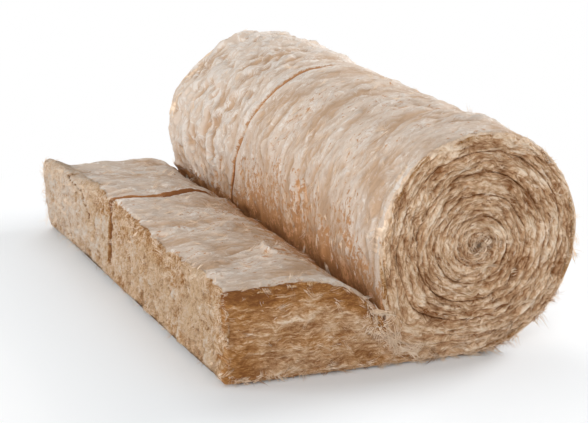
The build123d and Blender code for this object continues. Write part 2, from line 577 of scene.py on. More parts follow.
    def relief(
        self, run: np.ndarray, y: np.ndarray, outline: np.ndarray, shown: np.ndarray
    ) -> np.ndarray:
        """How far the skin stands out: billows, wrinkles along the winding, and the slit.

        Args:
            run: Each vertex's distance along the outline.
            y: Each vertex's Y.
            outline: Each vertex's place on the outline.
            shown: How much of each vertex shows.

        Returns:
            The height of each vertex over the plain outline.
        """
        flat = np.column_stack((run, y, np.zeros(len(run))))
        soft = Noise(self.seed)
        warp = 0.030 * soft(flat + 3, (0.12, 0.09, 1)) + 0.008 * soft(flat + 5, (0.04, 0.03, 1))
        bent = flat + np.column_stack((np.zeros(len(run)), warp, warp * 0))
        strength = 0.35 + 0.65 * smooth(soft(flat + 31, (0.17, 0.13, 1)), -0.35, 0.5)
        crumpled = smooth(y, 0.13, 0.32) * self.wound
        strength *= 1 + 0.7 * crumpled
        height = 0.0080 * soft(bent, (0.20, 0.085, 1)) - 0.001
        height += 0.0190 * strength * (np.abs(soft(bent + 9, (0.150, 0.046, 1))) - 0.3)
        height += 0.0075 * strength * (np.abs(soft(bent + 14, (0.060, 0.021, 1))) - 0.3)
        height += 0.0020 * strength * (0.6 - 2 * np.abs(soft(bent + 19, (0.060, 0.012, 1))))
        height += 0.0018 * soft.layers(flat + 23, (0.022, 0.012, 1), 2)
        height += 0.0120 * crumpled * (0.35 - 1.5 * np.abs(soft(bent + 27, (0.075, 0.042, 1))))
        height += 0.0060 * crumpled * (0.35 - 1.5 * np.abs(soft(flat + 29, (0.030, 0.022, 1))))
        bow = (outline[:, 0] + 0.205 - 9 * (y + 0.36) ** 2) / 0.006
        curl = np.exp(-(bow**2)) * (1 - smooth(np.abs(y + 0.36), 0.025, 0.045)) * (outline[:, 1] > 0.15)
        height += 0.011 * curl * (not self.wound)
        end = self.raw(outline, y)
        lumps = 0.0060 * soft(flat + 51, 0.040) + 0.0045 * soft(flat + 57, (0.015, 0.012, 1))
        lumps += 0.0030 * soft(flat + 63, (0.006, 0.007, 1))
        lumps += 0.0050 * (np.abs(soft(flat + 69, (0.030, 0.045, 1))) - 0.3)
        lumps *= 1 - 0.55 * smooth(outline[:, 1], 0.150, 0.180)
        height = height * (1 - end) + lumps * end
        off = y - self.slit_y(outline)
        height *= 1 - 0.75 * np.exp(-((off / 0.018) ** 2))
        depth, width = self.slit_depth(outline)
        height -= depth * np.clip(1 - np.abs(off) / width, 0, 1) ** 0.6
        lip = np.where(off < 0, 0.007 if self.wound else 0.009, 0.003) * np.exp(-((off / 0.016) ** 2))
        height -= lip * smooth(depth, 0.001, 0.012)
        height -= 0.014 * self.crevice(outline, y)
        rim = 0.35 + 0.65 * smooth(self.mat.width / 2 - np.abs(y), 0.002, 0.03)
        return np.minimum(height * (0.25 + 0.75 * shown) * rim, 0.012)

    def slit_depth(self, outline: np.ndarray) -> tuple[np.ndarray, np.ndarray]:
        """The slit's depth and half width, by the place on the outline."""
        x, z = outline.T
        if self.wound:
            open_air = smooth(z, 0.085, 0.10) * (1 - smooth(x, 0.17, 0.26))
            depth = open_air * 0.020 * (1 - 0.50 * smooth(z, 0.28, 0.45))
            return depth, np.full(len(x), 0.0050)
        return 0.027 * smooth(z, 0.038, 0.052), np.full(len(x), 0.0064)

    def crevice(self, outline: np.ndarray, y: np.ndarray) -> np.ndarray:
        """How deep each vertex lies in the crevice that runs down the torn end."""
        z = outline[:, 1]
        path = 0.40 - 0.11 * smooth(0.19 - z, 0, 0.03) - 0.035 * smooth(0.165 - z, 0, 0.06)
        path = path + 0.006 * Noise(self.seed + 13)(np.column_stack((outline, z * 0)), 0.02)
        ends = smooth(z, 0.098, 0.115) * (1 - smooth(outline[:, 0], -0.372, -0.34))
        across = np.clip(1 - np.abs(y - path) / 0.007, 0, 1)
        return np.zeros(len(y)) if self.wound else across**0.7 * ends

    def band(self, outline: np.ndarray, y: np.ndarray) -> np.ndarray:
        """How golden the torn end is, which it is under the skin and at the floor."""
        z = outline[:, 1] + 0.020 * Noise(self.seed + 17)(np.column_stack((outline, y)), 0.045)
        broad = Noise(self.seed + 19)(np.column_stack((outline, y)), 0.16)
        here = smooth(broad, -0.45, 0.15) * (1 - smooth(y, 0.10, 0.38))
        corner = 0.9 * (1 - smooth(y + 0.25 * (z - outline[:, 1]), -0.565, -0.515))
        low = 0.7 * (1 - smooth(z, 0.008, 0.045))
        return np.maximum(np.maximum(smooth(z, 0.120, 0.160) * here, low), corner)

    def warmth(self, outline: np.ndarray, y: np.ndarray) -> np.ndarray:
        """How brown the wool is, which grows towards the crease and the slit, where the darkest of it is
        partly painted shade; it is taken down on the roll's upper right side, a painted highlight.
        """
        crease = np.linalg.norm(outline - self.mat.crease_point, axis=1)
        reach = 0.27 - 0.10 * smooth(y, 0.0, 0.40) - 0.13 * (1 - smooth(y, -0.57, -0.38))
        near = 1 - smooth(crease / reach, 0.0, 1.0)
        warm = near - 0.45 * smooth(y, -0.15, 0.45) * (1 - smooth(near, 0.75, 0.95))
        # Painted highlight: the roll's upper right side, which faces the key lamp, is made paler.
        warm -= 0.65 * smooth(outline[:, 0], 0.17, 0.29) * smooth(outline[:, 1], 0.22, 0.38)
        # Browner in the slit where it is deep: partly the cut wool's own colour and partly painted shade in
        # the recess.
        off = y - self.slit_y(outline)
        low, high = (-0.0030, 0.0034) if self.wound else (-0.005, 0.0072)
        slit = smooth(off, low - 0.002, low + 0.001) * (1 - smooth(off, high - 0.001, high + 0.003))
        depth, _ = self.slit_depth(outline)
        return np.clip(warm + 1.55 * slit * smooth(depth, 0.002, 0.010), -0.90, 1.8)

    def dress(self, material: bpy.types.Material) -> None:
        """Puts the finish on the piece and ties it to the frame."""
        piece = bpy.data.objects[self.name]
        piece.data.materials.clear()
        piece.data.materials.append(material)
        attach(piece, "root")
        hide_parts(NODE)


def roll_lines(skin: Skin) -> list[tuple[np.ndarray, int, bool]]:
    """The wound part's outline: out of the floor, round to the crease, and back under."""
    winding = skin.mat.winding
    around = winding.point(np.linspace(0, skin.mat.crease, 3000))
    seam = skin.mat.seam_line()
    return [(around, 320, True), (seam, 12, False), (np.vstack((seam[-1], around[0])), 4, False)]


def tail_lines(skin: Skin) -> list[tuple[np.ndarray, int, bool]]:
    """The unrolled part's outline: along the floor, back along the seam, the top, the cut end."""
    mat = skin.mat
    seam = mat.seam_line()
    left = mat.tail_end
    x = left + mat.corner * (1 - np.cos(np.linspace(0, math.pi / 2, 12)))
    foot = np.column_stack((x, mat.bottom(x)))
    floor = np.vstack((foot, (mat.winding.contact_x, 0.0)))
    up = np.vstack((floor[-1], seam[-1]))
    top = mat.top_line()[::-1]
    end = np.vstack((top[-1], foot[0]))
    return [
        (floor, 24, False),
        (up, 4, False),
        (seam[::-1], 12, False),
        (top, 130, True),
        (end, 62, True),
    ]


@dataclass
class CutEdge:
    """The mat's long cut edge on one end: one ribbon from the unrolled stretch to the core."""

    mat: Mat
    end: End
    across: int = 64
    spacing: float = 0.0042
    lip: float = 0.013
    back: float = 0.030
    seed: int = 41
    surface: Surface | None = None

    @property
    def name(self) -> str:
        """The piece's name."""
        return "cut_edge_" + self.end.name.lower()

    def stations(self) -> tuple[np.ndarray, np.ndarray, np.ndarray]:
        """The ribbon's two sides at each station along it, and the angle wound at each side."""
        mat, winding = self.mat, self.mat.winding
        crease_x = mat.crease_point[0]
        count = int((crease_x - mat.tail_end) / self.spacing * 1.3)
        x = mat.tail_end + (crease_x - mat.tail_end) * np.linspace(0.0, 1, count) ** 1.0
        x[0] += 0.003
        outer = [np.column_stack((x, mat.bottom(x)))]
        inner = [np.column_stack((x, mat.top(x)))]
        seam = evenly(mat.seam_line(), int(0.18 / self.spacing))[1:]
        floor_x = np.linspace(crease_x, winding.contact_x, len(seam) + 1)[1:]
        outer.append(np.column_stack((floor_x, np.zeros(len(seam)))))
        inner.append(seam)
        turns = [0.0]
        while turns[-1] < winding.last:
            radius = winding.radius - winding.pitch * turns[-1] / 360
            turns.append(turns[-1] + min(math.degrees(self.spacing / radius), 6.0))
        wound = np.array(turns[1:-1])
        outer.append(winding.point(wound))
        core = winding.centre
        deep = np.clip((wound + 360 - winding.last) / 360, 0, 1)[:, None]
        inside = winding.point(np.minimum(wound + 360, winding.last - 0.01))
        angle = np.radians(wound - 90)
        ray = np.column_stack((np.cos(angle), np.sin(angle)))
        small = core + ray * (winding.core * (1 - deep) + 0.0012)
        inner.append(np.where(deep > 0, small, inside))
        first, second = len(x), len(seam)
        turn_out = np.concatenate((np.zeros(first + second), wound))
        rising = np.linspace(mat.crease, 360, second)
        turn_in = np.concatenate((np.zeros(first), rising, wound + 360))
        return np.vstack(outer), np.vstack(inner), np.column_stack((turn_out, turn_in))

    def build(self) -> bpy.types.Object:
        """Builds the closed ribbon.

        Returns:
            The piece, in its place.
        """
        outer, inner, turns = self.stations()
        rows = len(outer) - 1
        loop = self.across + 3
        piece, column, row = Modeller.grid(self.name, loop, rows)
        column = np.where(column == loop, 0, column)
        share = np.clip((column - 1) / self.across, 0, 1)
        hidden = (column == 0) | (column == self.across + 2)
        share = np.where(column == 0, 0.0, np.where(column == self.across + 2, 1.0, share))
        thick = np.linalg.norm(inner - outer, axis=1)
        eased = 0.5 - 0.5 * np.cos(math.pi * share)
        share = 0.35 * eased + 0.65 * share
        middle = (outer + inner) / 2
        run = np.concatenate(([0], np.cumsum(np.linalg.norm(np.diff(middle, axis=0), axis=1))))
        soft = Noise(self.seed)
        at_run = self.chart(run, run * 0)
        ragged = 0.0045 + 0.0030 * soft(at_run + 3, (0.018, 1, 1)) + 0.0015 * soft(at_run + 5, (0.006, 1, 1))
        crease_row = self.crease_row()
        number = np.arange(rows + 1)
        outside = turns[:, 0] < self.mat.crease
        on_tail = number < crease_row
        under = np.where(outside, ragged, 0.0)
        over = np.where(on_tail, ragged[::-1], 0.0)
        from_outer = under[row] + share * (thick[row] - under[row] - over[row])
        direction = (inner - outer) / np.maximum(thick, 1e-6)[:, None]
        flat = outer[row] + direction[row] * from_outer[:, None]
        from_inner = thick[row] - from_outer
        far = 1.0
        border = np.minimum(
            np.where(outside[row], from_outer, far),
            np.where(on_tail[row], np.minimum(from_inner, run[row] + 0.002), far),
        )
        rounded = self.mat.rim * (1 - np.sqrt(1 - np.clip(1 - border / self.mat.rim, 0, 1) ** 2))
        out_side = np.where(outside[row], far, from_outer)
        in_side = np.where(on_tail[row], far, from_inner)
        across = np.minimum(out_side, in_side)
        turned = np.where(out_side < in_side, turns[row, 0], turns[row, 1])
        tight = smooth(turned, 311, 330) * (1 - smooth(turned, 385, 440))
        uneven = soft(self.chart(turned, across * 0), (26, 1, 1))
        core = 1 - 0.8 * smooth(row.astype(float), rows - 90, rows - 30)
        reach = self.lip * (0.50 + 1.15 * uneven).clip(0.10, 1.3) * core * (1 - 0.8 * tight)
        reach = np.minimum(reach, thick[row] / 2)
        drop = 1 - np.sqrt(1 - np.clip(1 - across / np.maximum(reach, 0.001), 0, 1) ** 2)
        fall = np.maximum(rounded, reach * drop) - 0.0010
        height = self.relief(run[row], from_outer, thick[row], flat)
        height *= 0.1 + 0.9 * smooth(border, 0.003, 0.016)
        half = self.mat.width / 2
        level = half - fall + height
        level = np.where(hidden, half - self.back, level)
        places = np.column_stack((flat[:, 0], self.end.value * level, flat[:, 1]))
        places = self.mat.settle(places)
        places[:, 2] = np.maximum(places[:, 2], 0.0005)
        Modeller.place(piece, places)
        table = np.empty((rows + 1, loop + 1, 3))
        table[row, column] = places
        table[:, loop] = table[:, loop - 1]
        self.surface = Surface(table)
        Modeller.chart(piece, "surface", run[row], from_outer)
        Modeller.mark(piece, "relief", height)
        # The edge material darkens the colour by this: painted shade where the face falls away into the gaps
        # between turns.
        Modeller.mark(piece, "crevice", np.clip(drop, 0, 1) * core)
        top = smooth(-from_inner, -0.055, -0.012) * on_tail[row]
        corner = smooth(-run[row], -0.18, -0.01)
        top = np.maximum(top * (0.40 + 0.45 * corner), 0.14 * corner)
        Modeller.mark(piece, "band", top)
        curled = (1 - smooth(from_outer + 0.006 * soft(at_run[row] + 9, (0.012, 1, 1)), 0.004, 0.012))
        Modeller.mark(piece, "border", curled * outside[row] * (number[row] > crease_row + 20))
        Modeller.mark(piece, "wound", smooth(row.astype(float), self.crease_row(), self.crease_row() + 60))
        Modeller.close(piece)
        return piece

    def crease_row(self) -> int:
        """How many stations lie before the crease."""
        return int((self.mat.crease_point[0] - self.mat.tail_end) / self.spacing * 1.3)

    @staticmethod
    def chart(run: np.ndarray, across: np.ndarray) -> np.ndarray:
        """Surface places as points for the noise."""
        return np.column_stack((run, across, np.zeros(len(run))))

    def relief(
        self, run: np.ndarray, across: np.ndarray, thick: np.ndarray, flat: np.ndarray
    ) -> np.ndarray:
        """How far the cut fibres stand out of the edge.

        Args:
            run: Each vertex's distance along the mat.
            across: Each vertex's distance through the mat.
            thick: The mat's thickness there.
            flat: Each vertex's X and Z.

        Returns:
            The height of each vertex over the plain edge.
        """
        soft = Noise(self.seed + 1)
        squeeze = np.clip(thick / 0.040, 1, 1.35)
        at = self.chart(run, across / squeeze)
        space = np.column_stack((flat, np.zeros(len(run))))
        warp = np.where(thick > 0.06, 0.003, 0.006) * soft(at + 2, (0.07, 0.02, 1))
        at = at + np.column_stack((warp * 0, warp, warp * 0))
        flatter = np.where(thick > 0.06, 0.62, 1.0)
        height = 0.0050 * soft(space + 4, 0.07)
        height += 0.0060 * flatter * soft(at + 7, (0.045, 0.010, 1))
        height += 0.0046 * flatter * soft(at + 11, (0.024, 0.0052, 1))
        height += 0.0030 * flatter * soft(at + 13, (0.013, 0.0030, 1))
        return height

    def dress(self, material: bpy.types.Material) -> None:
        """Puts the finish on the piece and ties it to the frame."""
        piece = bpy.data.objects[self.name]
        piece.data.materials.clear()
        piece.data.materials.append(material)
        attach(piece, "root")
        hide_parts(NODE)


@dataclass
class Growth:
    """How the tufts of one place grow."""

    fibres: int
    length: tuple[float, float]
    radius: tuple[float, float]
    spread: float = 0.002
    lift: tuple[float, float] = (0.0, 0.15)
    swing: float = 0.3
    curl: float = 0.35
    tone: tuple[float, float] = (0.0, 1.0)
    lean: tuple[float, float, float] = (0.0, 0.0, 0.0)


@dataclass
class Wisps:
    """Loose wool: one drawn-out fibre, copied over the mat in tufts of many sizes and curls."""

    name: str
    box: tuple[tuple[float, float, float], tuple[float, float, float]] = (
        (-0.405, -0.598, 0.0006),
        (0.402, 0.598, 0.476),
    )
    rings: int = 3
    seed: int = 71
    parts: list[tuple[np.ndarray, np.ndarray]] = field(default_factory=list)

    def model(self) -> tuple[np.ndarray, list[tuple[int, ...]]]:
        """Models one fibre: a three-sided stalk that is drawn out to a point.

        Returns:
            Its vertices, with Z from 0 at the root to 1 at the tip, and its faces.
        """
        for other in bpy.context.selected_objects:
            other.select_set(False)
        bpy.ops.mesh.primitive_circle_add(vertices=3, radius=1, fill_type="NGON")
        wisp = bpy.context.object
        bpy.ops.object.mode_set(mode="EDIT")
        bpy.ops.mesh.select_mode(type="FACE")
        bpy.ops.mesh.select_all(action="SELECT")
        for ring in range(self.rings):
            last = ring == self.rings - 1
            bpy.ops.mesh.extrude_region_move(
                TRANSFORM_OT_translate={"value": (0, 0, 1 / self.rings)}
            )
            bpy.ops.transform.resize(value=(0.02, 0.02, 1) if last else (0.88, 0.88, 1))
        bpy.ops.mesh.merge(type="CENTER")
        bpy.ops.mesh.select_all(action="SELECT")
        bpy.ops.mesh.normals_make_consistent(inside=False)
        bpy.ops.object.mode_set(mode="OBJECT")
        places = Modeller.places(wisp).copy()
        faces = [tuple(face.vertices) for face in wisp.data.polygons]
        bpy.data.objects.remove(wisp)
        return places, faces

    def grow(self, spots: Spots, growth: Growth) -> None:
        """Grows a tuft of fibres on every spot.

        Args:
            spots: Where the tufts stand.
            growth: How they grow.
        """
        tufts, each = len(spots.place), growth.fibres
        count = tufts * each
        chance = np.random.default_rng(self.seed + len(self.parts))
        shape = self.shape

        def between(limits: tuple[float, float], number: int = count) -> np.ndarray:
            """A value for each fibre or tuft, between two limits."""
            return chance.uniform(*limits, size=(number, 1))

        def shared(values: np.ndarray, own: float) -> np.ndarray:
            """A tuft's values for each of its fibres, a little different for each."""
            spread = np.repeat(values, each, axis=0)
            return spread + chance.normal(size=spread.shape) * own

        along, out = np.repeat(spots.along, each, axis=0), np.repeat(spots.out, each, axis=0)
        side = unit(np.cross(along, out))
        heading = np.repeat(chance.choice((-1.0, 1.0), size=(tufts, 1)), each, axis=0)
        turn = shared(chance.normal(size=(tufts, 1)) * growth.swing, 0.14)
        lift = shared(between(growth.lift, tufts), 0.04)
        direction = unit(along * heading + side * turn + out * lift + np.array(growth.lean))
        bend = shared(chance.normal(size=(tufts, 3)) * growth.curl, 0.12)
        bend -= direction * np.sum(bend * direction, axis=1, keepdims=True)
        size = shared(between(growth.length, tufts), 0)
        length = size * between((0.6, 1.15))
        radius = shared(between(growth.radius, tufts), 0) * between((0.6, 1.2))
        root = np.repeat(spots.place, each, axis=0) - out * 0.0008
        root = root + side * chance.normal(size=(count, 1)) * growth.spread
        root = root + along * chance.normal(size=(count, 1)) * growth.spread * 1.6
        over = unit(np.cross(direction, out + 0.01))
        under = np.cross(direction, over)
        rise = shape[None, :, 2:3]
        path = root[:, None] + length[:, None] * (direction[:, None] * rise + bend[:, None] * rise**2)
        ring = over[:, None] * shape[None, :, 0:1] + under[:, None] * shape[None, :, 1:2] * 0.6
        path = path + ring * radius[:, None]
        path = np.clip(path, self.box[0], self.box[1])
        tone = shared(between(growth.tone, tufts), 0.10)
        self.parts.append((path.reshape(-1, 3), np.repeat(tone, len(shape), axis=1).ravel()))

    @property
    def shape(self) -> np.ndarray:
        """The modelled wisp's vertices."""
        if not hasattr(self, "_model"):
            self._model = self.model()
        return self._model[0]

    def build(self) -> bpy.types.Object:
        """Joins all the wisps in one piece.

        Returns:
            The piece, in its place.
        """
        places = np.vstack([part[0] for part in self.parts])
        tone = np.concatenate([part[1] for part in self.parts])
        shape, faces = self._model
        count = len(places) // len(shape)
        starts = np.arange(count)[:, None] * len(shape)
        sizes = [len(face) for face in faces]
        pattern = np.concatenate([np.array(face) for face in faces])
        corners = (starts + pattern[None]).ravel()
        mesh = bpy.data.meshes.new(self.name)
        mesh.vertices.add(len(places))
        mesh.vertices.foreach_set("co", places.ravel())
        mesh.loops.add(len(corners))
        mesh.loops.foreach_set("vertex_index", corners.astype(np.int32))
        totals = np.tile(sizes, count)
        mesh.polygons.add(len(totals))
        first = np.concatenate(([0], np.cumsum(totals)[:-1]))
        mesh.polygons.foreach_set("loop_start", first.astype(np.int32))
        mesh.polygons.foreach_set("use_smooth", np.ones(len(totals), bool))
        mesh.update(calc_edges=True)
        mesh.validate()
        piece = bpy.data.objects.new(self.name, mesh)
        bpy.context.scene.collection.objects.link(piece)
        Modeller.mark(piece, "tone", tone)
        return piece

    def dress(self, material: bpy.types.Material) -> None:
        """Puts the finish on the piece and ties it to the frame."""
        piece = bpy.data.objects[self.name]
        piece.data.materials.append(material)
        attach(piece, "root")


class Number:
    """A shader socket that is written in sums."""

    def __init__(self, recipe: "Recipe", socket: bpy.types.NodeSocket | None) -> None:
        """Keeps the socket and the recipe it is part of."""
        self.recipe = recipe
        self.socket = socket

    def _sum(self, operation: str, *others: "Number | float", swap: bool = False) -> "Number":
        """One step of maths.

        Args:
            operation: The Math node's operation.
            others: The other values.
            swap: Whether the other value comes first.

        Returns:
            The result.
        """
        values = [self, *others]
        if swap:
            values.reverse()
        sockets = {index: value for index, value in enumerate(values)}
        return self.recipe.node("ShaderNodeMath", {"operation": operation}, sockets)

    def __add__(self, other: "Number | float") -> "Number":
        """Adds."""
        return self._sum("ADD", other)

    def __radd__(self, other: float) -> "Number":
        """Adds to a plain number."""
        return self._sum("ADD", other)

    def __sub__(self, other: "Number | float") -> "Number":
        """Subtracts."""
        return self._sum("SUBTRACT", other)

    def __rsub__(self, other: float) -> "Number":
        """Subtracts from a plain number."""
        return self._sum("SUBTRACT", other, swap=True)

    def __mul__(self, other: "Number | float") -> "Number":
        """Multiplies."""
        return self._sum("MULTIPLY", other)

    def __rmul__(self, other: float) -> "Number":
        """Multiplies a plain number."""
        return self._sum("MULTIPLY", other)

    def __pow__(self, other: "Number | float") -> "Number":
        """Raises to a power."""
        return self._sum("POWER", other)

    def output(self, name: str) -> "Number":
        """Another output of the same node."""
        return Number(self.recipe, self.socket.node.outputs[name])

    def size(self) -> "Number":
        """The value without its sign."""
        return self._sum("ABSOLUTE")

    def at_least(self, other: "Number | float") -> "Number":
        """The larger of two values."""
        return self._sum("MAXIMUM", other)

    def step(self, low: float, high: float) -> "Number":
        """An eased step from 0 at low to 1 at high."""
        settings = {"interpolation_type": "SMOOTHSTEP"}
        return self.recipe.node(
            "ShaderNodeMapRange", settings, {"Value": self, "From Min": low, "From Max": high}
        )


Color = tuple[float, float, float]


class Recipe:
    """A material under construction."""

    def __init__(self, name: str, world: bool = False) -> None:
        """Starts an empty material or world.

        Args:
            name: Its name.
            world: Whether it is a world.
        """
        self.material = (bpy.data.worlds if world else bpy.data.materials).new(name)
        self.material.use_nodes = True
        self.tree = self.material.node_tree
        self.tree.nodes.clear()

    def node(
        self,
        kind: str,
        settings: dict[str, object] | None = None,
        sockets: dict[str | int, object] | None = None,
        output: str | int = 0,
    ) -> Number:
        """Adds a node.

        Args:
            kind: The node's type.
            settings: Its settings, by name.
            sockets: What goes into its sockets, by name or place.
            output: The output that is read.

        Returns:
            The output.
        """
        made = self.tree.nodes.new(kind)
        for name, value in (settings or {}).items():
            setattr(made, name, value)
        for key, value in (sockets or {}).items():
            socket = made.inputs[key]
            if isinstance(value, Number):
                self.tree.links.new(value.socket, socket)
            else:
                whole = isinstance(value, tuple) and socket.type == "RGBA"
                socket.default_value = (*value, 1.0) if whole and len(value) == 3 else value
        return Number(self, made.outputs[output] if made.outputs else None)

    def seen(self) -> Number:
        """Whether a ray is one of those that show what lies behind the object."""
        path = self.node("ShaderNodeLightPath", output="Is Camera Ray")
        glossy, through = path.output("Is Glossy Ray"), path.output("Is Transmission Ray")
        return path.at_least(glossy).at_least(through)

    def attribute(self, name: str) -> Number:
        """A number kept on the mesh."""
        return self.node("ShaderNodeAttribute", {"attribute_name": name}, output="Fac")

    def surface(self, scale: tuple[float, float], offset: float = 0.0, wander: float = 0.0) -> Number:
        """The surface's own coordinates, scaled each way.

        Args:
            scale: How many grains go in a metre, along and across.
            offset: A shift, so that two patterns differ.
            wander: How far the coordinates stray sideways, in metres.

        Returns:
            The coordinates.
        """
        chart = self.node("ShaderNodeUVMap", {"uv_map": "surface"})
        if wander:
            sockets = {"Vector": chart, "Scale": 22.0, "Detail": 3.0}
            stray = self.node("ShaderNodeTexNoise", {"noise_dimensions": "2D"}, sockets, "Color")
            sockets = {0: stray, 1: (wander * 0.5, wander, 0.0), 2: chart}
            chart = self.node("ShaderNodeVectorMath", {"operation": "MULTIPLY_ADD"}, sockets)
        sockets = {"Vector": chart, "Location": (offset, offset, 0), "Scale": (*scale, 1.0)}
        return self.node("ShaderNodeMapping", None, sockets)

    def noise(self, vector: Number, detail: float = 4.0, rough: float = 0.6, bend: float = 0.0) -> Number:
        """A noise's strength, from 0 to 1."""
        sockets = {
            "Vector": vector,
            "Scale": 1.0,
            "Detail": detail,
            "Roughness": rough,
            "Distortion": bend,
        }
        return self.node("ShaderNodeTexNoise", {"noise_dimensions": "2D"}, sockets)

    def tufts(self, vector: Number) -> Number:
        """Small tufts side by side: how near each place is to its tuft's edge.

        Args:
            vector: The coordinates, one tuft to a unit.

        Returns:
            The distance from the tuft's middle; its output Color is the tuft's own.
        """
        settings = {"voronoi_dimensions": "2D", "feature": "F1"}
        return self.node("ShaderNodeTexVoronoi", settings, {"Vector": vector, "Scale": 1.0})

    def blend(self, share: Number, first: "Number | Color", second: "Number | Color") -> Number:
        """Two colours mixed by a share."""
        settings = {"data_type": "RGBA", "clamp_factor": True}
        return self.node("ShaderNodeMix", settings, {0: share, 6: first, 7: second}, output=2)

    def finish(self, color: Number, height: Number, depth: float, strength: float) -> bpy.types.Material:
        """Ends the recipe with a matt shader.

        Args:
            color: The surface's colour.
            height: The fine relief.
            depth: The relief's depth, in metres.
            strength: The relief's strength.

        Returns:
            The material.
        """
        bump = self.node(
            "ShaderNodeBump", None, {"Height": height, "Distance": depth, "Strength": strength}
        )
        sockets = {
            "Base Color": color,
            "Roughness": 1.0,
            "Specular IOR Level": 0.1,
            "Normal": bump,
        }
        shader = self.node("ShaderNodeBsdfPrincipled", None, sockets)
        self.node("ShaderNodeOutputMaterial", None, {"Surface": shader})
        return self.material


